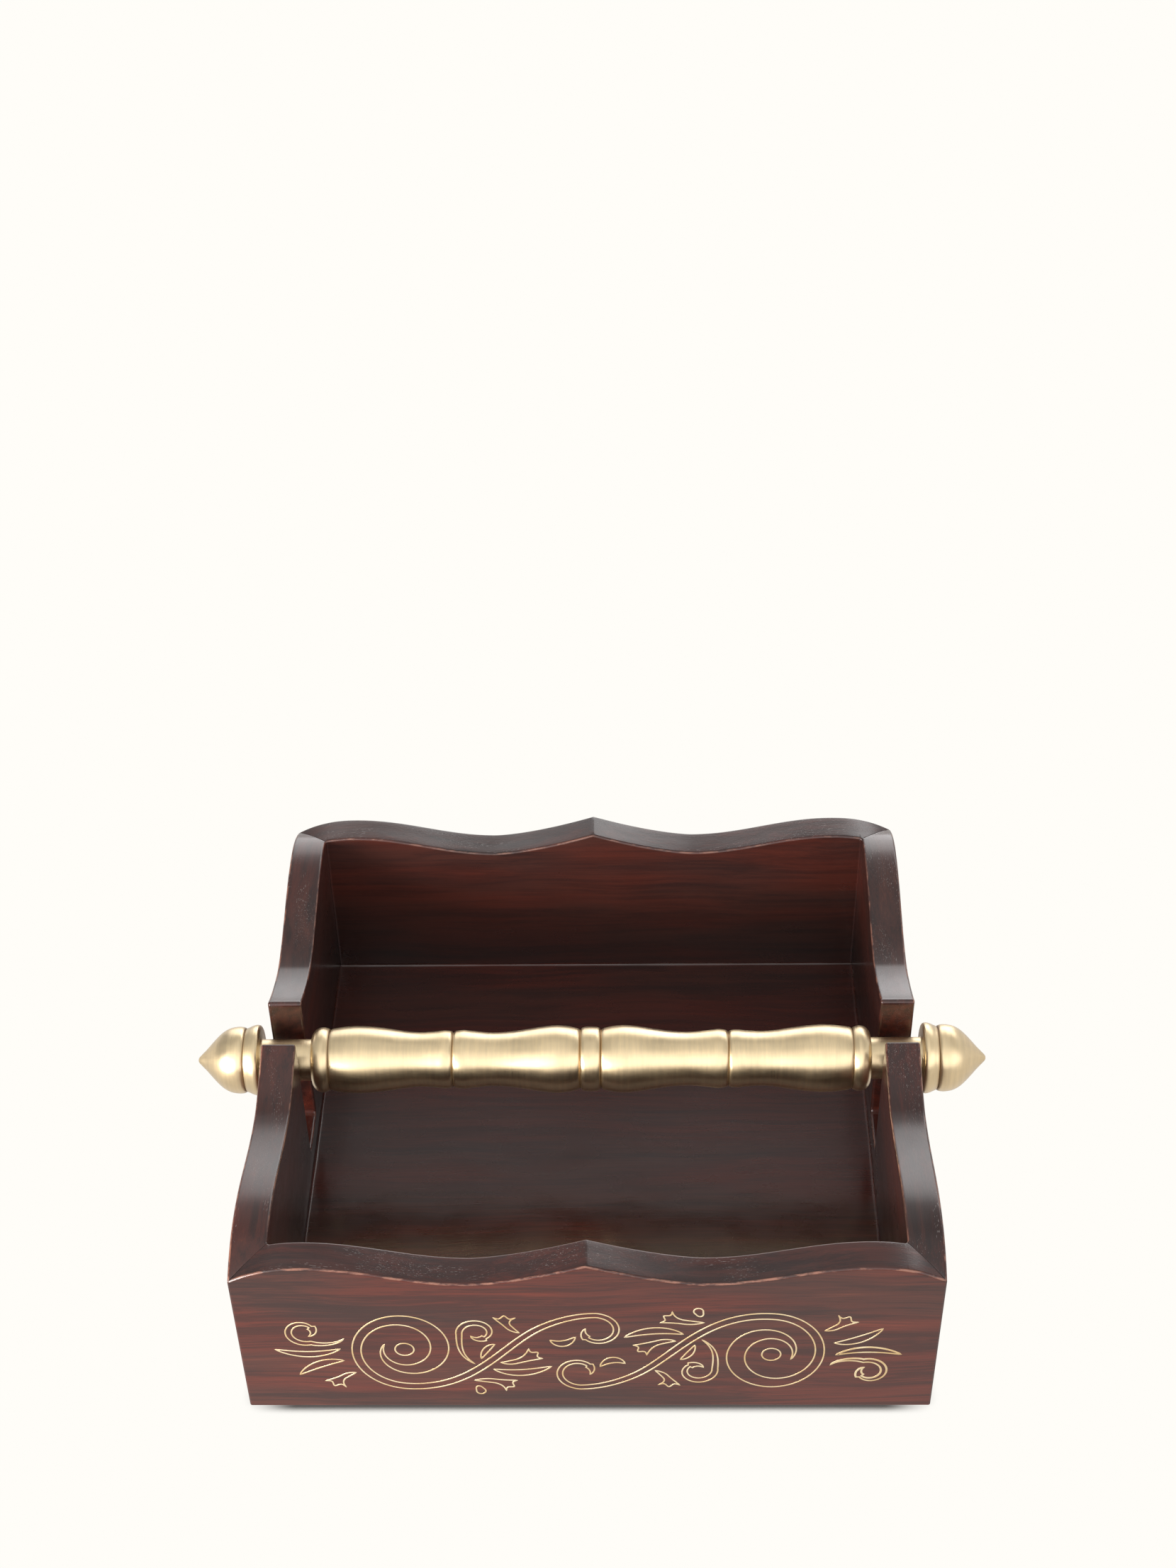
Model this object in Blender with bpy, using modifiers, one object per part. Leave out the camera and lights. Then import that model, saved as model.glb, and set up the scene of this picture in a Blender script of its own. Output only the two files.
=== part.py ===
"""Napkin tray: a square mitred wooden box with scalloped walls, a brass scroll
inlaid in its front, and a turned brass weight bar that rides in two open slots.

Frame: metres, +Z up, origin on the table under the middle of the box. The bar
lies along X, and the inlaid front faces -Y.
"""
import math

import bmesh
import bpy
from mathutils import Matrix, Vector

MM = 0.001

# ---- driving dimensions, millimetres ---------------------------------------
BOX = 200.0            # outside of the square box, across the walls
WALL = 10.6            # wall thickness
H_CORNER = 55.6        # wall height at the mitred corners
H_CREST = 61.1         # height of the round crest near each corner
H_TROUGH = 54.4        # height of the hollow either side of the middle
H_PEAK = 62.0          # height of the pointed middle, front and back
H_PEAK_SIDE = 65.0     # the same of the side walls, if the slot didn't take it away
X_CREST = 79.5         # crest, from the middle of the wall
X_TROUGH = 33.0        # trough, from the middle of the wall
MITRE_GAP = 0.3        # glue line between two walls

SLOT_WIDTH = 17.4      # open slot in each side wall
SLOT_BOTTOM = 13.0     # its floor above the table

REBATE = 2.5           # step that the floor panel sits up in
FLOOR_TOP = 4.6
FLOOR_THICK = 3.5
FELT_THICK = 0.8
FIT = 0.3              # clearance between pieces that meet

BAR_Z = 45.1           # bar axis above the table, as it rests on napkins
ROD_R = 3.0            # threaded rod through the turned pieces
BORE_R = 3.3
NECK_R = 6.5           # journal that rides in the slot
SEAM = 0.3             # between two turned pieces
STEPS = 20             # sides of a turned piece

WIRE = 0.6             # width of an inlaid wire
WIRE_DEEP = 0.8
GROOVE_GAP = 0.1
INLAY_Z = 25.0         # height of the middle of the scroll

# ---- clean start ------------------------------------------------------------
for stale in list(bpy.data.objects):
    bpy.data.objects.remove(stale, do_unlink=True)

parts = bpy.data.collections.new("napkin_tray")
cutters = bpy.data.collections.new("cutters")
bpy.context.scene.collection.children.link(parts)
bpy.context.scene.collection.children.link(cutters)


def material(name, colour, roughness, metallic=0.0):
    mat = bpy.data.materials.new(name)
    mat.use_nodes = True
    shader = mat.node_tree.nodes["Principled BSDF"]
    shader.inputs["Base Color"].default_value = (*colour, 1.0)
    shader.inputs["Roughness"].default_value = roughness
    shader.inputs["Metallic"].default_value = metallic
    return mat


WOOD = material("dark_rosewood", (0.075, 0.022, 0.016), 0.28)
BOARD = material("stained_plywood", (0.035, 0.017, 0.014), 0.30)
BRASS = material("satin_brass", (0.80, 0.66, 0.42), 0.30, 1.0)
INLAY = material("inlay_brass", (0.78, 0.66, 0.45), 0.35, 1.0)
STEEL = material("steel_rod", (0.45, 0.45, 0.46), 0.35, 1.0)
FELT = material("base_felt", (0.012, 0.020, 0.014), 0.95)


def add(name, data, mat, collection=parts):
    obj = bpy.data.objects.new(name, data)
    collection.objects.link(obj)
    if mat is not None:
        data.materials.clear()
        data.materials.append(mat)
    return obj


def cutter(name, data):
    obj = add(name, data, None, cutters)
    obj.hide_render = True
    obj.display_type = "WIRE"
    return obj


def outline(name, loops, thick):
    """A flat piece in XY, centred on Z = 0: closed loops of (x, y) in mm."""
    curve = bpy.data.curves.new(name, "CURVE")
    curve.dimensions = "2D"
    curve.fill_mode = "BOTH"
    curve.extrude = thick / 2 * MM
    for loop in loops:
        spline = curve.splines.new("POLY")
        spline.points.add(len(loop) - 1)
        for point, (x, y) in zip(spline.points, loop):
            point.co = (x * MM, y * MM, 0.0, 1.0)
        spline.use_cyclic_u = True
    return curve


def frozen(obj, name):
    """The evaluated mesh of obj in world space, its caps welded."""
    bpy.context.view_layer.update()
    graph = bpy.context.evaluated_depsgraph_get()
    mesh = bpy.data.meshes.new_from_object(obj.evaluated_get(graph))
    mesh.name = name
    mesh.transform(obj.matrix_world)
    bm = bmesh.new()
    bm.from_mesh(mesh)
    bmesh.ops.remove_doubles(bm, verts=bm.verts, dist=1e-6)
    bmesh.ops.recalc_face_normals(bm, faces=bm.faces)
    bm.to_mesh(mesh)
    bm.free()
    bpy.data.objects.remove(obj, do_unlink=True)
    return mesh


def block(name, size, centre, turn=0.0):
    mesh = bpy.data.meshes.new(name)
    bm = bmesh.new()
    bmesh.ops.create_cube(bm, size=1.0)
    bmesh.ops.scale(bm, vec=Vector(size) * MM, verts=bm.verts)
    bmesh.ops.rotate(bm, matrix=Matrix.Rotation(turn, 3, "Z"), verts=bm.verts)
    bmesh.ops.translate(bm, vec=Vector(centre) * MM, verts=bm.verts)
    bm.to_mesh(mesh)
    bm.free()
    return mesh


def cut(obj, tool, label):
    mod = obj.modifiers.new(label, "BOOLEAN")
    mod.operation = "DIFFERENCE"
    mod.solver = "EXACT"
    mod.object = tool


# ---- the box ------------------------------------------------------------------
def wall_top(x, peak):
    """Height of the wall's scalloped top edge, x mm from its middle."""
    x = abs(x)
    if x <= X_TROUGH:
        return H_TROUGH + (peak - H_TROUGH) * ((X_TROUGH - x) / X_TROUGH) ** 1.5
    if x <= X_CREST:
        swing = math.cos(math.pi * (X_CREST - x) / (X_CREST - X_TROUGH))
        return (H_CREST + H_TROUGH) / 2 + (H_CREST - H_TROUGH) / 2 * swing
    half = BOX / 2
    return H_CREST - (H_CREST - H_CORNER) * ((x - X_CREST) / (half - X_CREST)) ** 2.3


def wall_blank(peak):
    """One mitred and rebated board, as the front wall."""
    half = BOX / 2
    xs = []
    for start, end, count in ((0.0, X_TROUGH, 7), (X_TROUGH, X_CREST, 8), (X_CREST, half, 5)):
        xs += [start + (end - start) * k / count for k in range(count)]
    xs.append(half)
    xs = [-x for x in reversed(xs[1:])] + xs
    loop = [(half, 0.0)] + [(x, wall_top(x, peak)) for x in reversed(xs)] + [(-half, 0.0)]
    board = add("board", outline("board", [loop], WALL), WOOD)
    board.rotation_euler = (math.pi / 2, 0.0, 0.0)
    board.location = (0.0, (-half + WALL / 2) * MM, 0.0)
    blank = add("blank", frozen(board, "wall_blank"), WOOD)
    size = 60.0
    for side in (-1, 1):
        reach = (size / 2 - MITRE_GAP / 2) / math.sqrt(2)
        tool = cutter(
            f"mitre_tool_{'left' if side < 0 else 'right'}",
            block(
                "mitre_tool",
                (size, size, 200.0),
                (side * (half + reach), -half + reach, 50.0),
                math.pi / 4,
            ),
        )
        cut(blank, tool, "mitre")
    tool = cutter(
        "rebate_tool",
        block(
            "rebate_tool",
            (BOX * 1.5, 20.0, 20.0),
            (0.0, -half + WALL - REBATE + 10.0, FLOOR_TOP + FIT - 10.0),
        ),
    )
    cut(blank, tool, "rebate")
    mesh = frozen(blank, "wall_board")
    for tool in list(cutters.objects):
        bpy.data.objects.remove(tool, do_unlink=True)
    return mesh


end_board, side_board = wall_blank(H_PEAK), wall_blank(H_PEAK_SIDE)
walls = {}
for name, turn in (("front", 0), ("right", 1), ("back", 2), ("left", 3)):
    wall = add(f"{name}_panel", (side_board if turn % 2 else end_board).copy(), WOOD)
    wall.rotation_euler = (0.0, 0.0, turn * math.pi / 2)
    walls[name] = wall

for name, side in (("left", -1), ("right", 1)):
    tool = cutter(
        f"slot_tool_{name}",
        block(
            "slot_tool",
            (4 * WALL, SLOT_WIDTH, 80.0),
            (side * (BOX / 2 - WALL / 2), 0.0, SLOT_BOTTOM + 40.0),
        ),
    )
    cut(walls[name], tool, "slot")

inside = BOX - 2 * WALL
floor_side = inside + 2 * REBATE - 2 * FIT
add(
    "floor_panel",
    block("floor_panel", (floor_side, floor_side, FLOOR_THICK), (0, 0, FLOOR_TOP - FLOOR_THICK / 2)),
    BOARD,
)
add(
    "base_felt",
    block("base_felt", (floor_side - 0.6, floor_side - 0.6, FELT_THICK), (0, 0, FELT_THICK / 2)),
    FELT,
)


# ---- the inlaid scroll ----------------------------------------------------------
def bezier(a, b, c, d, count):
    points = []
    for k in range(count + 1):
        t = k / count
        s = 1 - t
        points.append(
            tuple(s**3 * p + 3 * s * s * t * q + 3 * s * t * t * r + t**3 * w for p, q, r, w in zip(a, b, c, d))
        )
    return points


def spiral(centre, r0, r1, a0, a1, count, tall=1.0):
    """Arc whose radius runs from r0 to r1 as its angle runs from a0 to a1 degrees."""
    points = []
    for k in range(count + 1):
        t = k / count
        angle = math.radians(a0 + (a1 - a0) * t)
        radius = r0 + (r1 - r0) * t
        points.append((centre[0] + radius * math.cos(angle), centre[1] + tall * radius * math.sin(angle)))
    return points


def unit(a, b):
    length = math.hypot(b[0] - a[0], b[1] - a[1])
    return (b[0] - a[0]) / length, (b[1] - a[1]) / length


def edges_of(mid, widths, mouth=()):
    """Closed outline of a band: out along its left edge, round its mouth, back along its right."""
    left, right = [], []
    last = len(mid) - 1
    for k, ((x, y), half) in enumerate(zip(mid, widths)):
        ux, uy = unit(mid[max(k - 1, 0)], mid[min(k + 1, last)])
        left.append((x - uy * half, y + ux * half))
        right.append((x + uy * half, y - ux * half))
    if widths[0] < 0.01:
        right = right[1:]
    if widths[-1] < 0.01:
        right = right[:-1]
    ux, uy = unit(mid[-2], mid[-1])
    x, y = mid[-1]
    lip = [(x + ux * along - uy * across, y + uy * along + ux * across) for along, across in mouth]
    return left + lip + right[::-1]


def away(p, a, b):
    """Distance from point p to the segment a b."""
    dx, dy = b[0] - a[0], b[1] - a[1]
    t = ((p[0] - a[0]) * dx + (p[1] - a[1]) * dy) / max(dx * dx + dy * dy, 1e-12)
    t = min(max(t, 0.0), 1.0)
    return math.hypot(p[0] - a[0] - dx * t, p[1] - a[1] - dy * t)


def moved_out(loop, by):
    """The loop moved outwards by a distance (inwards if negative), without the points that would cross."""
    count = len(loop)
    area = sum(p[0] * q[1] - q[0] * p[1] for p, q in zip(loop[-1:] + loop, loop))
    turn = 1.0 if area > 0 else -1.0
    kept = []
    for k, q in enumerate(loop):
        ax, ay = unit(loop[k - 1], q)
        bx, by_ = unit(q, loop[(k + 1) % count])
        nx, ny, stretch = turn * (ay + by_), -turn * (ax + bx), 1.5
        if math.hypot(nx, ny) < 0.05:
            nx, ny = ax - bx, ay - by_
        else:
            stretch = min(2.0 / math.hypot(nx, ny), stretch)
        length = math.hypot(nx, ny)
        point = (q[0] + nx / length * by * stretch, q[1] + ny / length * by * stretch)
        if min(away(point, loop[j - 1], loop[j]) for j in range(count)) > abs(by) * 0.97:
            kept.append(point)
    return kept


def wire_loops(outline, gap=0.0):
    """A wire laid along a closed outline: its outer and its inner edge."""
    return [moved_out(outline, WIRE / 2 + gap), moved_out(outline, -WIRE / 2 - gap)]


def leaf(root, pull, tip, half, fine=1, count=8, power=0.7):
    a, d = root, tip
    b = tuple(p + (q - p) * 0.66 for p, q in zip(a, pull))
    c = tuple(p + (q - p) * 0.66 for p, q in zip(d, pull))
    mid = bezier(a, b, c, d, count * fine)
    total = len(mid) - 1
    return edges_of(mid, [half * math.sin(math.pi * k / total) ** power for k in range(total + 1)])


def tendril(root, lead, centre, radius, start, end, half, barb, fine=1, count=12):
    """A shoot that curls in on itself and ends in a barbed tip."""
    curl = spiral(centre, radius, radius * 0.45, start, end, count * fine)
    mid = bezier(root, lead[0], lead[1], curl[0], 5 * fine) + curl[1:]
    total = len(mid) - 1
    widths = []
    for k in range(total + 1):
        t = k / total
        if t < 0.80:
            widths.append(half * math.sin(math.pi * min(t / 0.80 * 0.86, 1.0)) ** 0.8)
        else:
            widths.append(barb * ((1.0 - t) / 0.2) ** 0.9)
    widths[-1] = 0.0
    return edges_of(mid, widths)


def trumpet(root, pull, tip, neck, flare, fine=1, count=8, lobe=1.0):
    """A flower seen from the side: a slender throat that opens into three lobes."""
    a, d = root, tip
    b = tuple(p + (q - p) * 0.66 for p, q in zip(a, pull))
    c = tuple(p + (q - p) * 0.66 for p, q in zip(d, pull))
    mid = bezier(a, b, c, d, count * fine)
    total = len(mid) - 1
    widths = []
    for k in range(total + 1):
        t = k / total
        widths.append(neck * math.sin(min(t / 0.45, 1.0) * math.pi / 2) ** 0.8 + (flare - neck) * max((t - 0.45) / 0.55, 0) ** 2.2)
    lips = 5 * fine
    mouth = []
    for k in range(1, 2 * lips):
        s = 1 - k / lips
        along = lobe * (1.9 * math.exp(-((s / 0.32) ** 2)) - 0.95 * (1 - s * s))
        mouth.append((along, s * flare))
    return edges_of(mid, widths, mouth)


def stem(fine=1):
    """Main stem: from the heart of the coil, under it, up across the middle and over in a barbed hook."""
    coil = spiral((-52.5, 1.2), 6.0, 15.6, -90 - 470, -90, 24 * fine, tall=1.08)
    sweep = bezier(coil[-1], (-33.0, -17.4), (-24.5, 3.0), (-13.5, 10.6), 9 * fine)
    rise = bezier(sweep[-1], (-8.2, 14.3), (-2.6, 16.2), (2.4, 16.2), 4 * fine)
    hook = spiral((2.4, 9.2), 7.0, 3.1, 90, -200, 12 * fine)
    mid = coil + sweep[1:] + rise[1:] + hook[1:]
    total = len(mid) - 1
    widths = []
    for k in range(total + 1):
        s = k / fine
        if s < 24:
            u = s / 24
            widths.append(1.25 * min(u / 0.3, 1.0) ** 0.7 + 1.35 * math.sin(math.pi * min(u / 0.85, 1.0)) ** 2)
        elif s <= 37:
            widths.append(1.25 - 0.35 * (s - 24) / 13)
        elif s <= 46.01:
            widths.append(0.9 - 0.25 * (s - 37) / 9)
        else:
            widths.append(1.35 * ((49 - s) / 3) ** 0.9)
    widths[0] = widths[-1] = 0.0
    return edges_of(mid, widths)


def ring(centre, radius, fine=1, count=14):
    return [
        (centre[0] + radius * math.cos(2 * math.pi * k / count / fine), centre[1] + radius * math.sin(2 * math.pi * k / count / fine))
        for k in range(count * fine)
    ]


def drop(centre, radius, towards, fine=1, count=14):
    """A bud: round, drawn out to a point."""
    cx, cy = centre
    points = []
    for k in range(count * fine):
        a = 2 * math.pi * k / (count * fine)
        r = radius * (1 + 0.75 * max(math.cos(a), 0.0) ** 5)
        points.append((cx + r * math.cos(a + math.radians(towards)), cy + r * math.sin(a + math.radians(towards))))
    return points


def half_scroll(fine=1):
    """Closed outlines of one half of the scroll, mm from its middle."""
    return {
        "stem": stem(fine),
        "tendril_outer": tendril((-69.6, 6.0), ((-71.4, 3.4), (-76.6, 3.0)), (-80.8, 9.0), 5.2, -70, -415, 0.9, 1.35, fine),
        "leaf_long": leaf((-71.0, 1.4), (-79.6, -3.2), (-89.6, 1.2), 1.2, fine),
        "leaf_middle": leaf((-70.4, -3.9), (-77.6, -3.9), (-83.6, -10.2), 1.35, fine),
        "leaf_low": trumpet((-67.4, -9.4), (-71.6, -10.6), (-73.6, -14.6), 0.85, 3.2, fine, lobe=1.0),
        "tendril_inner": tendril((-32.6, -5.4), ((-36.4, -2.0), (-36.9, 1.6)), (-31.4, 8.6), 5.2, 190, -140, 0.95, 1.3, fine),
        "leaf_rising": trumpet((-19.4, 8.6), (-23.6, 11.2), (-23.4, 15.2), 0.85, 3.1, fine, lobe=0.9),
        "leaf_inner": leaf((-30.6, -2.9), (-29.4, 1.8), (-26.6, 3.4), 0.9, fine, 7),
        "leaf_upper": trumpet((-25.0, -4.8), (-20.4, -5.6), (-15.0, -0.8), 0.9, 2.9, fine, lobe=0.9),
        "leaf_lower": leaf((-27.2, -7.9), (-19.2, -11.6), (-10.6, -6.6), 1.35, fine),
        "leaf_hanging": trumpet((-33.0, -13.0), (-26.6, -12.4), (-22.4, -15.4), 0.85, 2.9, fine, lobe=0.9),
        "leaf_heart": leaf((-10.6, 5.2), (-6.8, 1.6), (-3.5, 6.6), 1.25, fine, 7),
        "eye": ring((-52.5, 1.2), 2.7, fine),
        "bud": drop((-31.4, -17.9), 1.35, 110, fine),
    }


def turned_half(loop, side):
    """The scroll is the same after half a turn about its middle."""
    if side < 0:
        return [(x, y + INLAY_Z) for x, y in loop]
    return [(-x, -y + INLAY_Z) for x, y in loop]


face_y = -BOX / 2
grooves = bmesh.new()
for side, end in ((-1, "left"), (1, "right")):
    for name, edge in half_scroll().items():
        wire = add(
            f"inlay_{end}_{name}",
            outline("wire", [turned_half(loop, side) for loop in wire_loops(edge)], WIRE_DEEP),
            INLAY,
        )
        wire.rotation_euler = (math.pi / 2, 0.0, 0.0)
        wire.location = (0.0, (face_y + WIRE_DEEP / 2) * MM, 0.0)
        loops = [turned_half(loop, side) for loop in wire_loops(edge, GROOVE_GAP)]
        deep = WIRE_DEEP + GROOVE_GAP + 1.0
        tool = add("groove", outline("groove", loops, deep), None, cutters)
        tool.rotation_euler = (math.pi / 2, 0.0, 0.0)
        tool.location = (0.0, (face_y - 1.0 + deep / 2) * MM, 0.0)
        mesh = frozen(tool, "groove")
        grooves.from_mesh(mesh)
        bpy.data.meshes.remove(mesh)
groove_mesh = bpy.data.meshes.new("groove_tool")
grooves.to_mesh(groove_mesh)
grooves.free()
cut(walls["front"], cutter("groove_tool", groove_mesh), "grooves")


# ---- the weight bar ---------------------------------------------------------------
bar = bpy.data.objects.new("bar_axis", None)
bar.location = (0.0, 0.0, BAR_Z * MM)
parts.objects.link(bar)


def bored(outer):
    """Closed profile: down the outer side, then up the bore. Points are (z, r) mm."""
    high, low = outer[0][0], outer[-1][0]
    return [(r, z) for z, r in outer] + [(BORE_R, low), (BORE_R, high)]


def turned(name, profile, closed=True, side=1, mat=BRASS):
    """A lathe-turned piece: (r, z) mm, with z out from the middle of the bar."""
    mesh = bpy.data.meshes.new(name)
    bm = bmesh.new()
    verts = [bm.verts.new((r * MM, 0.0, z * MM)) for r, z in profile]
    for a, b in zip(verts, verts[1:]):
        bm.edges.new((a, b))
    if closed:
        bm.edges.new((verts[-1], verts[0]))
    bm.to_mesh(mesh)
    bm.free()
    obj = add(name, mesh, mat)
    obj.parent = bar
    obj.rotation_euler = (0.0, side * math.pi / 2, 0.0)
    mod = obj.modifiers.new("turn", "SCREW")
    mod.axis = "Z"
    mod.angle = 2 * math.pi
    mod.steps = mod.render_steps = STEPS
    mod.use_merge_vertices = True
    mod.merge_threshold = 1e-6
    mod.use_smooth_shade = True
    return obj


BEAD_END = 3.1
BARREL_END = 42.6
BARREL_OUT_END = 80.8
COLLAR_END = 86.4
JOURNAL_END = 106.9
TIP = 122.15
half_seam = SEAM / 2

bead = [(BEAD_END, 9.3), (2.2, 9.85), (0.0, 10.1), (-2.2, 9.85), (-BEAD_END, 9.3)]
barrel_in = [
    (BARREL_END - half_seam, 8.5), (41.4, 8.95), (39.4, 9.15), (36.2, 8.8), (31.0, 8.35), (25.4, 8.6),
    (19.4, 9.4), (15.0, 10.1), (10.6, 10.5), (7.2, 10.25), (4.9, 9.8), (BEAD_END + SEAM, 9.2),
]
barrel_out = [
    (BARREL_OUT_END - half_seam, 9.5), (79.0, 9.85), (75.8, 10.3), (71.6, 10.5), (67.0, 10.2), (62.0, 9.55),
    (57.0, 8.8), (52.6, 8.5), (48.2, 8.75), (45.6, 9.0), (43.8, 8.9), (BARREL_END + half_seam, 8.5),
]
collar = [
    (COLLAR_END, 7.1), (86.1, 8.3), (85.2, 9.45), (84.0, 10.0), (82.8, 10.15), (81.7, 9.8),
    (BARREL_OUT_END + half_seam, 9.5),
]
journal = [
    (JOURNAL_END - half_seam, 9.95), (106.0, 10.2), (104.9, 10.7), (103.8, 11.0), (102.9, 10.9), (102.3, 10.2),
    (102.2, NECK_R), (COLLAR_END + SEAM, NECK_R),
]
finial = [
    (TIP, 0.0), (121.9, 0.8), (121.0, 1.8), (119.4, 3.4), (117.6, 5.4), (115.6, 7.5), (113.8, 9.0),
    (111.8, 10.0), (109.6, 10.4), (108.1, 10.35), (JOURNAL_END + half_seam, 9.95),
]

turned("centre_bead", bored(bead))
for side, end in ((-1, "left"), (1, "right")):
    turned(f"inner_barrel_{end}", bored(barrel_in), side=side)
    turned(f"outer_barrel_{end}", bored(barrel_out), side=side)
    turned(f"collar_bead_{end}", bored(collar), side=side)
    turned(f"journal_{end}", bored(journal), side=side)
    blind = [(r, z) for z, r in finial] + [
        (BORE_R, JOURNAL_END + half_seam), (BORE_R, 114.0), (0.0, 114.6),
    ]
    turned(f"finial_{end}", blind, closed=False, side=side)

ROD_END = 113.4
rod = [(0.0, ROD_END), (ROD_R - 0.5, ROD_END), (ROD_R, ROD_END - 0.5),
       (ROD_R, -ROD_END + 0.5), (ROD_R - 0.5, -ROD_END), (0.0, -ROD_END)]
turned("core_rod", rod, closed=False, mat=STEEL)
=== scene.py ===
"""Looks of the napkin tray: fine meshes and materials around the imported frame."""

import math

import bmesh
import bpy
import numpy as np
from mathutils import Matrix, Vector


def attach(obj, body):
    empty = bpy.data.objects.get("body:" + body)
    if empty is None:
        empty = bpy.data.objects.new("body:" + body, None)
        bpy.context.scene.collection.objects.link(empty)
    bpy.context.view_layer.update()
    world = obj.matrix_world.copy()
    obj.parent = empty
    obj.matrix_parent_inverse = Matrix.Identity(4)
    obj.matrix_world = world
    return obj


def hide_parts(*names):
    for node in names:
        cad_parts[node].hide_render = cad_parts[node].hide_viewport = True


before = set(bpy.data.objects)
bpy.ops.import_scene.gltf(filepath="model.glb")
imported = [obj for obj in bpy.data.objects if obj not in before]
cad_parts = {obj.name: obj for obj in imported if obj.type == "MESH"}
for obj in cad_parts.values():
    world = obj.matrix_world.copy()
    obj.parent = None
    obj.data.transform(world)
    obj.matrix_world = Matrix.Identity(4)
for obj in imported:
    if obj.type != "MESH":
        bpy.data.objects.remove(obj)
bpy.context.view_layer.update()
scene = bpy.context.scene
MM = 0.001

# ---- dimensions repeated from the CAD source, millimetres --------------------------
BOX = 200.0
WALL = 10.6
H_CORNER, H_CREST, H_TROUGH, H_PEAK, H_PEAK_SIDE = 55.6, 61.1, 54.4, 62.0, 65.0
X_CREST, X_TROUGH = 79.5, 33.0
SLOT_WIDTH, SLOT_BOTTOM = 17.4, 13.0
REBATE, FLOOR_TOP, FLOOR_THICK, FELT_THICK, FIT = 2.5, 4.6, 3.5, 0.8, 0.3
BAR_Z = 45.1
BORE_R, NECK_R, SEAM = 3.3, 6.5, 0.3
WIRE, WIRE_DEEP, INLAY_Z = 0.5, 0.8, 25.0
PROUD = 0.06                       # the wood stands this far behind the inlaid wires
OUT = BOX / 2 - PROUD              # outer face of a wall
IN = BOX / 2 - WALL                # inner face of a wall


# ---- small helpers ------------------------------------------------------------------
def new(tree, kind, props=None, ins=None):
    node = tree.nodes.new(kind)
    for key, value in (props or {}).items():
        setattr(node, key, value)
    for key, value in (ins or {}).items():
        socket = node.inputs[key]
        if isinstance(value, bpy.types.NodeSocket):
            tree.links.new(value, socket)
        else:
            socket.default_value = value
    return node


def math_node(tree, op, a, b=None, c=None, clamp=False):
    ins = {0: a}
    if b is not None:
        ins[1] = b
    if c is not None:
        ins[2] = c
    return new(tree, "ShaderNodeMath", {"operation": op, "use_clamp": clamp}, ins).outputs[0]


def vec_node(tree, op, a, b):
    return new(tree, "ShaderNodeVectorMath", {"operation": op}, {0: a, 1: b}).outputs[0]


def remap(tree, value, lo, hi, to_lo=0.0, to_hi=1.0, smooth=True):
    return new(
        tree,
        "ShaderNodeMapRange",
        {"interpolation_type": "SMOOTHSTEP" if smooth else "LINEAR", "clamp": True},
        {0: value, 1: lo, 2: hi, 3: to_lo, 4: to_hi},
    ).outputs[0]


def noise(tree, vector, scale, detail=2.0, rough=0.5, distort=0.0):
    node = new(
        tree,
        "ShaderNodeTexNoise",
        {"noise_dimensions": "3D"},
        {"Vector": vector, "Scale": scale, "Detail": detail, "Roughness": rough, "Distortion": distort},
    )
    return node.outputs[0]


def blend_colour(tree, fac, a, b, mode="MIX"):
    node = new(tree, "ShaderNodeMix", {"data_type": "RGBA", "blend_type": mode, "clamp_factor": True})
    for index, value in ((0, fac), (6, a), (7, b)):
        socket = node.inputs[index]
        if isinstance(value, bpy.types.NodeSocket):
            tree.links.new(value, socket)
        elif index == 0:
            socket.default_value = value
        else:
            socket.default_value = (*value, 1.0)
    return node.outputs[2]


def ramp(tree, fac, stops):
    node = new(tree, "ShaderNodeValToRGB", None, {0: fac})
    table = node.color_ramp
    table.interpolation = "EASE"
    while len(table.elements) > 1:
        table.elements.remove(table.elements[-1])
    table.elements[0].position = stops[0][0]
    table.elements[0].color = (*stops[0][1], 1.0)
    for place, colour in stops[1:]:
        element = table.elements.new(place)
        element.color = (*colour, 1.0)
    return node.outputs[0]


def attribute(tree, name, vector=False):
    node = new(tree, "ShaderNodeAttribute", {"attribute_name": name})
    return node.outputs["Vector" if vector else "Fac"]


def start_material(name):
    mat = bpy.data.materials.new(name)
    mat.use_nodes = True
    tree = mat.node_tree
    shader = tree.nodes["Principled BSDF"]
    return mat, tree, shader


def srgb(r, g, b):
    out = []
    for c in (r, g, b):
        c /= 255.0
        out.append(c / 12.92 if c <= 0.04045 else ((c + 0.055) / 1.055) ** 2.4)
    return tuple(out)


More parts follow.
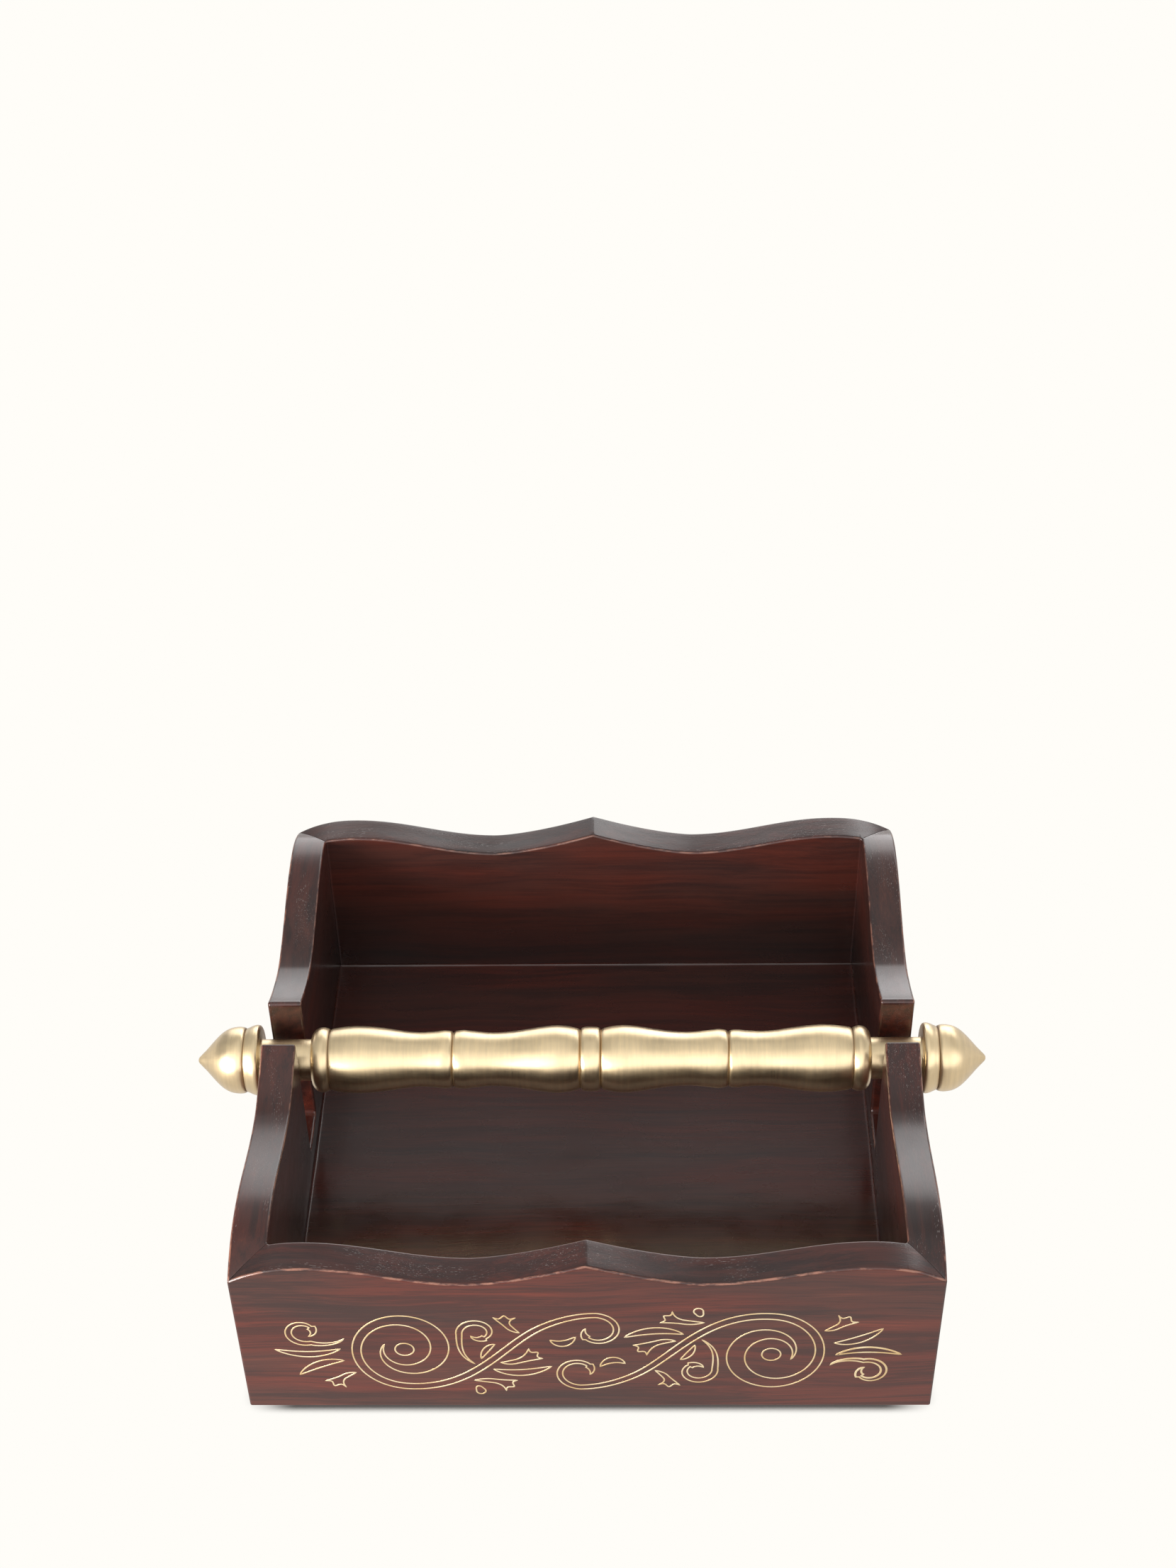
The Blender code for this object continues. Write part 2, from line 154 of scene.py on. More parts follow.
# ---- materials ---------------------------------------------------------------------
def wood_material(name, gain=1.0, top_shade=0.50, contrast=0.47, rough=0.32, coat_rough=0.16):
    """Dark stained rosewood under satin varnish. 'grain' holds millimetres along, through and up the board."""
    mat, tree, shader = start_material(name)
    place = attribute(tree, "grain", vector=True)
    edge = attribute(tree, "edge")
    top = attribute(tree, "top")
    inner_shade = attribute(tree, "inner_shade")
    # the fibres wander gently along the board
    slow = new(
        tree, "ShaderNodeTexNoise", None,
        {"Vector": vec_node(tree, "MULTIPLY", place, (0.012, 0.03, 0.03)), "Scale": 1.0, "Detail": 2.0, "Roughness": 0.5},
    ).outputs[1]
    wander = vec_node(tree, "MULTIPLY", vec_node(tree, "SUBTRACT", slow, (0.5, 0.5, 0.5)), (0.0, 9.0, 11.0))
    fibre = vec_node(tree, "ADD", place, wander)
    streaks = noise(tree, vec_node(tree, "MULTIPLY", fibre, (0.016, 0.42, 0.50)), 1.0, 6.0, 0.62)
    hairs = noise(tree, vec_node(tree, "MULTIPLY", fibre, (0.045, 2.4, 2.6)), 1.0, 3.0, 0.6)
    figure = noise(tree, vec_node(tree, "MULTIPLY", fibre, (0.006, 0.10, 0.085)), 1.0, 2.0, 0.5, 0.4)
    warmth = noise(tree, vec_node(tree, "MULTIPLY", fibre, (0.011, 0.05, 0.060)), 1.0, 1.0, 0.5)
    tone = math_node(tree, "MULTIPLY", remap(tree, streaks, 0.34, 0.70, smooth=False), 0.62)
    tone = math_node(tree, "ADD", tone, math_node(tree, "MULTIPLY", remap(tree, hairs, 0.30, 0.72, smooth=False), 0.34))
    tone = math_node(tree, "ADD", tone, math_node(tree, "MULTIPLY", remap(tree, figure, 0.36, 0.66), 0.34))
    # calmer figure in the shade of the box
    spread = remap(tree, inner_shade, 0.0, 1.0, contrast, contrast * 0.45, smooth=False)
    tone = math_node(tree, "MULTIPLY_ADD", math_node(tree, "SUBTRACT", tone, 0.62), spread, 0.50)
    k = gain
    colour = ramp(
        tree, tone,
        [
            (0.10, (0.0150 * k, 0.0058 * k, 0.0048 * k)),
            (0.36, (0.0400 * k, 0.0120 * k, 0.0092 * k)),
            (0.58, (0.0820 * k, 0.0200 * k, 0.0130 * k)),
            (0.80, (0.1500 * k, 0.0350 * k, 0.0190 * k)),
            (1.00, (0.2300 * k, 0.0580 * k, 0.0280 * k)),
        ],
    )
    red = blend_colour(tree, 0.55, colour, (1.45, 0.82, 0.62), "MULTIPLY")
    grey = blend_colour(tree, 0.60, colour, (0.78, 0.94, 1.00), "MULTIPLY")
    colour = blend_colour(tree, remap(tree, warmth, 0.38, 0.62), grey, red)
    # painted shade: the faces that look into the box are darkened, most of all low down where the front wall's shadow
    # falls, and tinted greyer as a painted reflection of the dim inside
    height = new(tree, "ShaderNodeSeparateXYZ", None, {0: new(tree, "ShaderNodeTexCoord").outputs["Object"]}).outputs[2]
    shaded_inside = blend_colour(tree, 1.0, colour, (1.0, 1.25, 1.40), "MULTIPLY")
    shaded_inside = new(
        tree, "ShaderNodeVectorMath", {"operation": "SCALE"},
        {0: shaded_inside, "Scale": remap(tree, height, 0.010, 0.050, 0.15, 0.80)},
    ).outputs[0]
    colour = blend_colour(tree, inner_shade, colour, shaded_inside)
    # and, as painted shade, darker and greyer on the sawn tops that face up
    top_shaded = blend_colour(tree, 1.0, colour, (top_shade, top_shade * 1.15, top_shade * 1.25), "MULTIPLY")
    colour = blend_colour(tree, top, colour, top_shaded)
    # the stain is rubbed thin along the outer top edges, with a painted highlight in its pale colour; on the inner top
    # edges it is a painted highlight only
    rub_and_highlight = noise(tree, vec_node(tree, "MULTIPLY", place, (0.16, 0.6, 0.6)), 1.0, 4.0, 0.65)
    rub_and_highlight = math_node(tree, "MULTIPLY", remap(tree, edge, 0.35, 0.95), remap(tree, rub_and_highlight, 0.42, 0.62), clamp=True)
    colour = blend_colour(tree, math_node(tree, "MULTIPLY", rub_and_highlight, 0.8), colour, (0.33, 0.145, 0.095))
    # open pores on the sawn top, with polish dried pale in them
    dash = noise(tree, vec_node(tree, "MULTIPLY", fibre, (0.50, 6.0, 6.0)), 1.0, 1.0, 0.4)
    patch = noise(tree, vec_node(tree, "MULTIPLY", place, (0.030, 0.16, 0.05)), 1.0, 1.0, 0.5)
    pore = math_node(tree, "MULTIPLY", remap(tree, dash, 0.675, 0.72), remap(tree, patch, 0.50, 0.66))
    pore = math_node(tree, "MULTIPLY", pore, top, clamp=True)
    colour = blend_colour(tree, math_node(tree, "MULTIPLY", pore, 0.40), colour, (0.42, 0.38, 0.36))
    tree.links.new(colour, shader.inputs["Base Color"])
    sheen_spots = noise(tree, vec_node(tree, "MULTIPLY", place, (0.05, 0.09, 0.09)), 1.0, 3.0, 0.55)
    roughness = remap(tree, sheen_spots, 0.3, 0.7, rough - 0.05, rough + 0.09, smooth=False)
    tree.links.new(math_node(tree, "ADD", roughness, math_node(tree, "MULTIPLY", pore, 0.35)), shader.inputs["Roughness"])
    shader.inputs["Specular IOR Level"].default_value = 0.35
    shader.inputs["Coat Weight"].default_value = 0.75
    shader.inputs["Coat Roughness"].default_value = coat_rough
    shader.inputs["Coat IOR"].default_value = 1.5
    relief = math_node(tree, "ADD", math_node(tree, "MULTIPLY", hairs, 0.55), math_node(tree, "MULTIPLY", streaks, 0.30))
    relief = math_node(tree, "SUBTRACT", relief, math_node(tree, "MULTIPLY", pore, 0.8))
    grain_bump = new(tree, "ShaderNodeBump", None, {"Strength": 0.35, "Distance": 0.00010, "Height": relief})
    swell = noise(tree, vec_node(tree, "MULTIPLY", place, (0.035, 0.06, 0.06)), 1.0, 2.0, 0.5)
    swell_bump = new(
        tree, "ShaderNodeBump", None,
        {"Strength": 0.30, "Distance": 0.0006, "Height": swell, "Normal": grain_bump.outputs[0]},
    )
    tree.links.new(swell_bump.outputs[0], shader.inputs["Normal"])
    tree.links.new(swell_bump.outputs[0], shader.inputs["Coat Normal"])
    return mat


def brass_material(name, colour, rough, brush=1.0):
    """Lathe-turned brass, polished round and round. 'turn' holds (x mm, cos, sin) about the bar."""
    mat, tree, shader = start_material(name)
    place = attribute(tree, "turn", vector=True)
    groove = attribute(tree, "groove")
    fine = noise(tree, vec_node(tree, "MULTIPLY", place, (5.5, 0.35, 0.35)), 1.0, 4.0, 0.7)
    broad = noise(tree, vec_node(tree, "MULTIPLY", place, (0.9, 0.8, 0.8)), 1.0, 3.0, 0.6)
    cloud = noise(tree, vec_node(tree, "MULTIPLY", place, (0.06, 1.1, 1.1)), 1.0, 3.0, 0.6)
    worn = math_node(tree, "ADD", math_node(tree, "MULTIPLY", broad, 0.55), math_node(tree, "MULTIPLY", cloud, 0.45))
    base = blend_colour(
        tree, remap(tree, worn, 0.35, 0.68),
        tuple(c * 0.90 for c in colour), tuple(min(c * 1.06, 1.0) for c in colour),
    )
    base = blend_colour(tree, math_node(tree, "MULTIPLY", groove, 0.60), base, (0.36, 0.20, 0.075))
    tree.links.new(base, shader.inputs["Base Color"])
    shader.inputs["Metallic"].default_value = 1.0
    value = remap(tree, fine, 0.25, 0.75, rough - 0.05, rough + 0.07, smooth=False)
    value = math_node(tree, "ADD", value, remap(tree, cloud, 0.35, 0.70, -0.03, 0.05))
    value = math_node(tree, "ADD", value, math_node(tree, "MULTIPLY", groove, 0.12))
    tree.links.new(value, shader.inputs["Roughness"])
    shader.inputs["Anisotropic"].default_value = 0.35
    shader.inputs["Coat Weight"].default_value = 0.9
    shader.inputs["Coat Roughness"].default_value = 0.30
    shader.inputs["Coat IOR"].default_value = 1.65
    bump = new(tree, "ShaderNodeBump", None, {"Strength": 0.22 * brush, "Distance": 0.00006, "Height": fine})
    tree.links.new(bump.outputs[0], shader.inputs["Normal"])
    return mat


def inlay_material(name):
    mat, tree, shader = start_material(name)
    place = attribute(tree, "grain", vector=True)
    cloud = noise(tree, vec_node(tree, "MULTIPLY", place, (0.11, 0.11, 0.11)), 1.0, 3.0, 0.6)
    fine = noise(tree, vec_node(tree, "MULTIPLY", place, (2.5, 2.5, 2.5)), 1.0, 3.0, 0.6)
    base = blend_colour(tree, remap(tree, cloud, 0.36, 0.64), (0.80, 0.58, 0.30), (0.98, 0.83, 0.55))
    tree.links.new(base, shader.inputs["Base Color"])
    shader.inputs["Metallic"].default_value = 0.75
    tree.links.new(remap(tree, fine, 0.3, 0.7, 0.38, 0.55, smooth=False), shader.inputs["Roughness"])
    bump = new(tree, "ShaderNodeBump", None, {"Strength": 0.25, "Distance": 0.00005, "Height": fine})
    tree.links.new(bump.outputs[0], shader.inputs["Normal"])
    return mat


def steel_material(name):
    mat, tree, shader = start_material(name)
    place = new(tree, "ShaderNodeTexCoord").outputs["Object"]
    fine = noise(tree, vec_node(tree, "MULTIPLY", place, (1400.0, 90.0, 90.0)), 1.0, 3.0, 0.6)
    tree.links.new(
        blend_colour(tree, remap(tree, fine, 0.3, 0.7), (0.33, 0.33, 0.34), (0.55, 0.55, 0.56)), shader.inputs["Base Color"]
    )
    shader.inputs["Metallic"].default_value = 1.0
    tree.links.new(remap(tree, fine, 0.3, 0.7, 0.28, 0.45, smooth=False), shader.inputs["Roughness"])
    return mat


def felt_material(name):
    mat, tree, shader = start_material(name)
    place = attribute(tree, "grain", vector=True)
    fluff = noise(tree, vec_node(tree, "MULTIPLY", place, (2.2, 2.2, 2.2)), 1.0, 5.0, 0.7)
    cloud = noise(tree, vec_node(tree, "MULTIPLY", place, (0.06, 0.06, 0.06)), 1.0, 3.0, 0.6)
    strands = new(
        tree, "ShaderNodeTexVoronoi", {"feature": "DISTANCE_TO_EDGE"},
        {"Vector": vec_node(tree, "MULTIPLY", place, (0.9, 2.6, 1.0)), "Scale": 1.0},
    ).outputs[0]
    tone = math_node(tree, "ADD", math_node(tree, "MULTIPLY", fluff, 0.7), math_node(tree, "MULTIPLY", cloud, 0.3))
    tree.links.new(
        ramp(tree, tone, [(0.30, (0.006, 0.014, 0.009)), (0.55, (0.014, 0.032, 0.019)), (0.80, (0.030, 0.055, 0.036))]),
        shader.inputs["Base Color"],
    )
    shader.inputs["Roughness"].default_value = 0.95
    shader.inputs["Sheen Weight"].default_value = 0.35
    shader.inputs["Sheen Roughness"].default_value = 0.45
    height = math_node(tree, "ADD", fluff, math_node(tree, "MULTIPLY", strands, 0.6))
    bump = new(tree, "ShaderNodeBump", None, {"Strength": 0.8, "Distance": 0.0004, "Height": height})
    tree.links.new(bump.outputs[0], shader.inputs["Normal"])
    return mat


WOOD = wood_material("rosewood_varnished")
BOARD = wood_material("rosewood_floor_board", gain=0.66, contrast=0.28, rough=0.26, coat_rough=0.14)
BRASS = brass_material("brass_turned", (0.93, 0.735, 0.435), 0.33)
INLAY = inlay_material("brass_wire")
STEEL = steel_material("steel_core")
FELT = felt_material("felt_green")


# ---- mesh helpers -------------------------------------------------------------------
def finish_piece(name, mesh, mat, body, nodes, angle=35.0, weighted=False):
    obj = bpy.data.objects.new(name, mesh)
    scene.collection.objects.link(obj)
    mesh.materials.clear()
    mesh.materials.append(mat)
    mesh.shade_smooth()
    mesh.set_sharp_from_angle(angle=math.radians(angle))
    if weighted:
        mod = obj.modifiers.new("weighted", "WEIGHTED_NORMAL")
        mod.mode = "FACE_AREA"
        mod.weight = 100
        mod.keep_sharp = True
    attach(obj, body)
    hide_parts(*nodes)
    return obj


def float_attribute(mesh, name, values):
    layer = mesh.attributes.get(name) or mesh.attributes.new(name, "FLOAT", "POINT")
    layer.data.foreach_set("value", np.asarray(values, np.float32))


def vector_attribute(mesh, name, values):
    layer = mesh.attributes.get(name) or mesh.attributes.new(name, "FLOAT_VECTOR", "POINT")
    layer.data.foreach_set("vector", np.asarray(values, np.float32).ravel())


def points_of(mesh):
    co = np.empty(len(mesh.vertices) * 3)
    mesh.vertices.foreach_get("co", co)
    return co.reshape(-1, 3)


# ---- the four walls ------------------------------------------------------------------
def wall_top(x, peak):
    x = math.hypot(x, 0.25) - 0.25 * max(0.0, 1 - abs(x) / X_TROUGH)
    if x <= X_TROUGH:
        return H_TROUGH + (peak - H_TROUGH) * ((X_TROUGH - x) / X_TROUGH) ** 1.5
    if x <= X_CREST:
        swing = math.cos(math.pi * (X_CREST - x) / (X_CREST - X_TROUGH))
        return (H_CREST + H_TROUGH) / 2 + (H_CREST - H_TROUGH) / 2 * swing
    half = BOX / 2
    return H_CREST - (H_CREST - H_CORNER) * ((x - X_CREST) / (half - X_CREST)) ** 2.3


REACH = 101.0
EDGE_R = 0.85          # rounding of the long edges
SLOT_R = 1.05           # rounding of the slot's mouth
CORNER_R = 0.7         # upright outer corners
FILLET_R = 0.9         # varnish gathered in the upright inner corners
ARC = 5


def arc(cx, cz, radius, a0, a1, count):
    return [
        (cx + radius * math.cos(a0 + (a1 - a0) * k / count), cz + radius * math.sin(a0 + (a1 - a0) * k / count))
        for k in range(count + 1)
    ]


def top_line(slotted):
    """The wall's upper outline, from its right end to its left."""
    half = SLOT_WIDTH / 2
    peak = H_PEAK_SIDE if slotted else H_PEAK
    right = []
    if slotted:
        x0 = half + SLOT_R
        slope = (wall_top(x0 + 0.01, peak) - wall_top(x0 - 0.01, peak)) / 0.02
        cz = wall_top(x0, peak) - SLOT_R * math.sqrt(1 + slope * slope)
        start = x0 - SLOT_R * slope / math.sqrt(1 + slope * slope)
        count = int((REACH - start) / 0.8)
        right += [(REACH + (start - REACH) * k / count, 0) for k in range(count)]
        right = [(x, wall_top(x, peak)) for x, _ in right]
        right += arc(x0, cz, SLOT_R, math.atan2(1, -slope), math.pi, 6)
        right += [(half, cz + (SLOT_BOTTOM + 2.0 - cz) * k / 6) for k in range(1, 6)]
        right += arc(half - 2.0, SLOT_BOTTOM + 2.0, 2.0, 0.0, -math.pi / 2, 7)
        left = [(-x, z) for x, z in reversed(right)]
        return right + left
    count = 124
    right = [REACH + (1.0 - REACH) * k / count for k in range(count)] + [1.0, 0.7, 0.45, 0.22]
    xs = right + [0.0] + [-x for x in reversed(right)]
    return [(x, wall_top(x, peak)) for x in xs]


def wall_layers():
    """(depth from the outer face, inset of the upper outline, inset of the bottom, wear with painted highlight, top,
    painted inner shade).
    """
    def under(t, radius=0.45):
        t = min(t, radius)
        return radius - math.sqrt(radius * radius - (radius - t) ** 2)

    thick = OUT - IN
    rows = []
    for k in range(ARC + 1):
        a = math.pi / 2 * k / ARC
        t = EDGE_R * (1 - math.cos(a))
        rows.append((t, EDGE_R * (1 - math.sin(a)), under(t), math.sin(2 * a), math.sin(a) ** 2, 0.0))
    rows.append((2.5, 0.0, 0.0, 0.0, 1.0, 0.0))
    step = thick - REBATE
    high = FLOOR_TOP + FIT
    rows.append((step, 0.0, 0.0, 0.0, 1.0, 0.0))
    rows.append((step, 0.0, high, 0.0, 1.0, 0.0))
    # the inner top edge: its wear value here is a painted highlight
    for k in range(ARC, -1, -1):
        a = math.pi / 2 * k / ARC
        t = thick - EDGE_R * (1 - math.cos(a))
        # the last column fades in the painted inner shade over the inner rounding
        rows.append((t, EDGE_R * (1 - math.sin(a)), high, 0.75 * math.sin(2 * a), math.sin(a) ** 2, 1 - math.sin(a)))
    return rows


def wall_mesh(name, slotted, shade):
    line = top_line(slotted)
    pts = [(-REACH, 0.0), (REACH, 0.0)] + line
    count = len(pts)
    normals = [(0.0, 0.0), (0.0, 0.0)]
    for i in range(len(line)):
        a, b = line[max(i - 1, 0)], line[min(i + 1, len(line) - 1)]
        dx, dz = b[0] - a[0], b[1] - a[1]
        length = math.hypot(dx, dz)
        normals.append((dz / length, -dx / length))
    bm = bmesh.new()
    # rounded top edges: real rubbed wear with a painted highlight
    wear_and_highlight_l = bm.verts.layers.float.new("edge")
    top_l = bm.verts.layers.float.new("top")
    # mask for the painted inner shade of the faces that look into the box
    in_l = bm.verts.layers.float.new("inner_shade")
    rows = []
    for t, inset, base, wear_and_highlight, top, inner_shade in wall_layers():
        row = []
        for i, (x, z) in enumerate(pts):
            if i < 2:
                v = bm.verts.new((x, -OUT + t, base))
                v[in_l] = inner_shade * shade
            else:
                nx, nz = normals[i]
                v = bm.verts.new((x - nx * inset, -OUT + t, z - nz * inset))
                up = max(nz, 0.9 * abs(nx) - 0.1, 0.0)
                v[wear_and_highlight_l] = wear_and_highlight * (1.0 if nz > 0.5 else 0.25)
                v[top_l] = top * up
                v[in_l] = inner_shade * shade
            row.append(v)
        rows.append(row)
    for a, b in zip(rows, rows[1:]):
        for i in range(count):
            j = (i + 1) % count
            bm.faces.new((a[i], a[j], b[j], b[i]))
    bm.faces.new(rows[0])
    bm.faces.new(rows[-1])
    bmesh.ops.remove_doubles(bm, verts=bm.verts, dist=1e-4)
    # columns for the rounded uprights
    cuts = []
    for k in range(5):
        a = math.pi / 4 * k / 4
        cuts.append(OUT - CORNER_R + CORNER_R * math.sin(a))
        cuts.append(IN - FILLET_R + FILLET_R * math.sin(a))
    for x in cuts:
        for side in (-1, 1):
            bmesh.ops.bisect_plane(
                bm, geom=bm.verts[:] + bm.edges[:] + bm.faces[:], dist=1e-5,
                plane_co=(side * x, 0, 0), plane_no=(side, 0, 0),
            )
    thick = OUT - IN
    for v in bm.verts:
        x = abs(v.co.x)
        share = (v.co.y + OUT) / thick
        shift = 0.0
        if x > OUT - CORNER_R:
            u = min(x - (OUT - CORNER_R), CORNER_R)
            shift += (CORNER_R - math.sqrt(max(CORNER_R**2 - u * u, 0.0))) * (1 - share)
        if x > IN - FILLET_R:
            u = min(x - (IN - FILLET_R), FILLET_R)
            shift += (FILLET_R - math.sqrt(max(FILLET_R**2 - u * u, 0.0))) * share
        v.co.y += shift
    # mitres, each with a hair of a groove where the glue line shows
    gap = 0.02
    for side in (-1, 1):
        no = Vector((side, 1.0, 0.0)).normalized()
        for inset, clear in ((0.14, False), (gap, True)):
            bmesh.ops.bisect_plane(
                bm, geom=bm.verts[:] + bm.edges[:] + bm.faces[:], dist=1e-5,
                plane_co=-no * inset, plane_no=no, clear_outer=clear,
            )
    bmesh.ops.recalc_face_normals(bm, faces=bm.faces)
    low = min(bm.faces, key=lambda f: f.calc_center_median().z)
    if low.normal.z > 0:
        bmesh.ops.reverse_faces(bm, faces=bm.faces)
    bm.normal_update()
    rim = [e for e in bm.edges if e.is_boundary]
    moves = {v: v.normal * -0.06 for e in rim for v in e.verts}
    for v, move in moves.items():
        v.co += move
    bmesh.ops.holes_fill(bm, edges=rim, sides=0)
    bmesh.ops.recalc_face_normals(bm, faces=bm.faces)
    mesh = bpy.data.meshes.new(name)
    bm.to_mesh(mesh)
    bm.free()
    return mesh


def make_wall(end, turn, slotted, grain_shift, shade=1.0):
    mesh = wall_mesh(f"{end}_panel_fine", slotted, shade)
    co = points_of(mesh)
    vector_attribute(mesh, "grain", co + np.array(grain_shift))
    mesh.transform(Matrix.Rotation(turn * math.pi / 2, 4, "Z") @ Matrix.Scale(MM, 4))
    return finish_piece(
        f"{end}_panel_fine", mesh, WOOD, "tray", [f"{end}_panel"], weighted=True
    )


make_wall("front", 0, False, (340.0, 20.0, 11.0))
make_wall("right", 1, True, (905.0, 160.0, 71.0))
# the back wall's inner face takes less of the painted inner shade, a painted stand-in for the light that reaches its
# upper part
make_wall("back", 2, False, (-610.0, 330.0, -45.0), shade=0.75)
make_wall("left", 3, True, (-1290.0, -260.0, 128.0))


# ---- floor board and felt ---------------------------------------------------------------
def ring_points(half, per_side):
    """Points round a square, anticlockwise from its lower left corner."""
    step = 2 * half / per_side
    pts = []
    for k in range(per_side):
        pts.append((-half + k * step, -half))
    for k in range(per_side):
        pts.append((half, -half + k * step))
    for k in range(per_side):
        pts.append((half - k * step, half))
    for k in range(per_side):
        pts.append((-half, half - k * step))
    return pts


def ringed_slab(name, rings, per_side):
    """rings: functions (index, count) -> (half, z) or plain (half, z), from the middle underneath, out, and in over the top."""
    bm = bmesh.new()
    rows = []
    total = per_side * 4
    for ring in rings:
        row = []
        for i in range(total):
            half, z = ring(i, total) if callable(ring) else ring
            x, y = ring_points(half, per_side)[i] if callable(ring) else (None, None)
            row.append((half, z, x, y))
        if not callable(ring):
            flat = ring_points(ring[0], per_side)
            row = [(ring[0], ring[1], x, y) for x, y in flat]
        rows.append([bm.verts.new((x, y, z)) for _, z, x, y in row])
    for a, b in zip(rows, rows[1:]):
        for i in range(total):
            j = (i + 1) % total
            bm.faces.new((a[i], a[j], b[j], b[i]))
    bm.faces.new(rows[0])
    bm.faces.new(rows[-1])
    bmesh.ops.recalc_face_normals(bm, faces=bm.faces)
    mesh = bpy.data.meshes.new(name)
    bm.to_mesh(mesh)
    bm.free()
    return mesh


PER_SIDE = 88


def bead(i, total):
    """Radius of the varnish bead along the foot of the walls, uneven as it dried."""
    t = 2 * math.pi * i / total
    wave = 0.5 * math.sin(7 * t + 0.6) + 0.3 * math.sin(17 * t + 2.1) + 0.25 * math.sin(41 * t + 0.4)
    return 0.85 + 0.22 * wave


def floor_mesh():
    side = IN + REBATE - FIT
    low = FLOOR_TOP - FLOOR_THICK
    rings = [(side - 0.4, low), (side, low + 0.4), (side, FLOOR_TOP - 0.3), (side - 0.3, FLOOR_TOP)]
    rings.append((IN - 0.02, FLOOR_TOP))
    steps = 5

    def concave(k):
        def at(i, total):
            r = bead(i, total)
            a = math.pi / 2 * k / steps
            return IN - 0.02 - r * (1 - math.cos(a)), FLOOR_TOP + 0.004 + r * (1 - math.sin(a))
        return at

    for k in range(steps + 1):
        rings.append(concave(k))
    rings.append((IN - 2.4, FLOOR_TOP))
    mesh = ringed_slab("floor_panel_fine", rings, PER_SIDE)
    return mesh


mesh = floor_mesh()
co = points_of(mesh)
vector_attribute(mesh, "grain", co[:, [0, 2, 1]] + np.array((150.0, 40.0, -300.0)))
float_attribute(mesh, "inner_shade", np.zeros(len(co)))
float_attribute(mesh, "top", np.zeros(len(co)))
float_attribute(mesh, "edge", np.zeros(len(co)))
mesh.transform(Matrix.Scale(MM, 4))
finish_piece("floor_panel_fine", mesh, BOARD, "tray", ["floor_panel"], weighted=True)


def felt_mesh():
    side = IN + REBATE - FIT - 0.3
    wobble = lambda i, total: 0.10 * math.sin(2 * math.pi * i / total * 29) + 0.06 * math.sin(2 * math.pi * i / total * 61 + 1)
    rings = [
        (side - 3.0, 0.012), (side - 0.8, 0.0),
        lambda i, n: (side - 0.25 + 0.5 * wobble(i, n), 0.10),
        lambda i, n: (side - 0.12 + 0.5 * wobble(i, n), 0.38),
        lambda i, n: (side - 0.2 + 0.5 * wobble(i, n), 0.66),
        (side - 0.6, 0.8),
    ]
    return ringed_slab("base_felt_fine", rings, PER_SIDE)


mesh = felt_mesh()
vector_attribute(mesh, "grain", points_of(mesh))
mesh.transform(Matrix.Scale(MM, 4))
felt = finish_piece("base_felt_fine", mesh, FELT, "tray", ["base_felt"], weighted=True)


# ---- the inlaid scroll ------------------------------------------------------------------
FINE = 4               # points for each of the CAD's


def bezier(a, b, c, d, count):
    points = []
    for k in range(count + 1):
        t = k / count
        s = 1 - t
        points.append(
            tuple(s**3 * p + 3 * s * s * t * q + 3 * s * t * t * r + t**3 * w for p, q, r, w in zip(a, b, c, d))
        )
    return points


def spiral(centre, r0, r1, a0, a1, count, tall=1.0):
    """Arc whose radius runs from r0 to r1 as its angle runs from a0 to a1 degrees."""
    points = []
    for k in range(count + 1):
        t = k / count
        angle = math.radians(a0 + (a1 - a0) * t)
        radius = r0 + (r1 - r0) * t
        points.append((centre[0] + radius * math.cos(angle), centre[1] + tall * radius * math.sin(angle)))
    return points


def unit(a, b):
    length = math.hypot(b[0] - a[0], b[1] - a[1])
    return (b[0] - a[0]) / length, (b[1] - a[1]) / length


def edges_of(mid, widths, mouth=()):
    """Closed outline of a band: out along its left edge, round its mouth, back along its right."""
    left, right = [], []
    last = len(mid) - 1
    for k, ((x, y), half) in enumerate(zip(mid, widths)):
        ux, uy = unit(mid[max(k - 1, 0)], mid[min(k + 1, last)])
        left.append((x - uy * half, y + ux * half))
        right.append((x + uy * half, y - ux * half))
    if widths[0] < 0.01:
        right = right[1:]
    if widths[-1] < 0.01:
        right = right[:-1]
    ux, uy = unit(mid[-2], mid[-1])
    x, y = mid[-1]
    lip = [(x + ux * along - uy * across, y + uy * along + ux * across) for along, across in mouth]
    return left + lip + right[::-1]


def away(p, a, b):
    """Distance from point p to the segment a b."""
    dx, dy = b[0] - a[0], b[1] - a[1]
    t = ((p[0] - a[0]) * dx + (p[1] - a[1]) * dy) / max(dx * dx + dy * dy, 1e-12)
    t = min(max(t, 0.0), 1.0)
    return math.hypot(p[0] - a[0] - dx * t, p[1] - a[1] - dy * t)


def moved_out(loop, by):
    """The loop moved outwards by a distance (inwards if negative), without the points that would cross."""
    count = len(loop)
    area = sum(p[0] * q[1] - q[0] * p[1] for p, q in zip(loop[-1:] + loop, loop))
    turn = 1.0 if area > 0 else -1.0
    kept = []
    for k, q in enumerate(loop):
        ax, ay = unit(loop[k - 1], q)
        bx, by_ = unit(q, loop[(k + 1) % count])
        nx, ny, stretch = turn * (ay + by_), -turn * (ax + bx), 1.5
        if math.hypot(nx, ny) < 0.05:
            nx, ny = ax - bx, ay - by_
        else:
            stretch = min(2.0 / math.hypot(nx, ny), stretch)
        length = math.hypot(nx, ny)
        point = (q[0] + nx / length * by * stretch, q[1] + ny / length * by * stretch)
        if min(away(point, loop[j - 1], loop[j]) for j in range(count)) > abs(by) * 0.97:
            kept.append(point)
    return kept


def wire_loops(outline, gap=0.0):
    """A wire laid along a closed outline: its outer and its inner edge."""
    return [moved_out(outline, WIRE / 2 + gap), moved_out(outline, -WIRE / 2 - gap)]


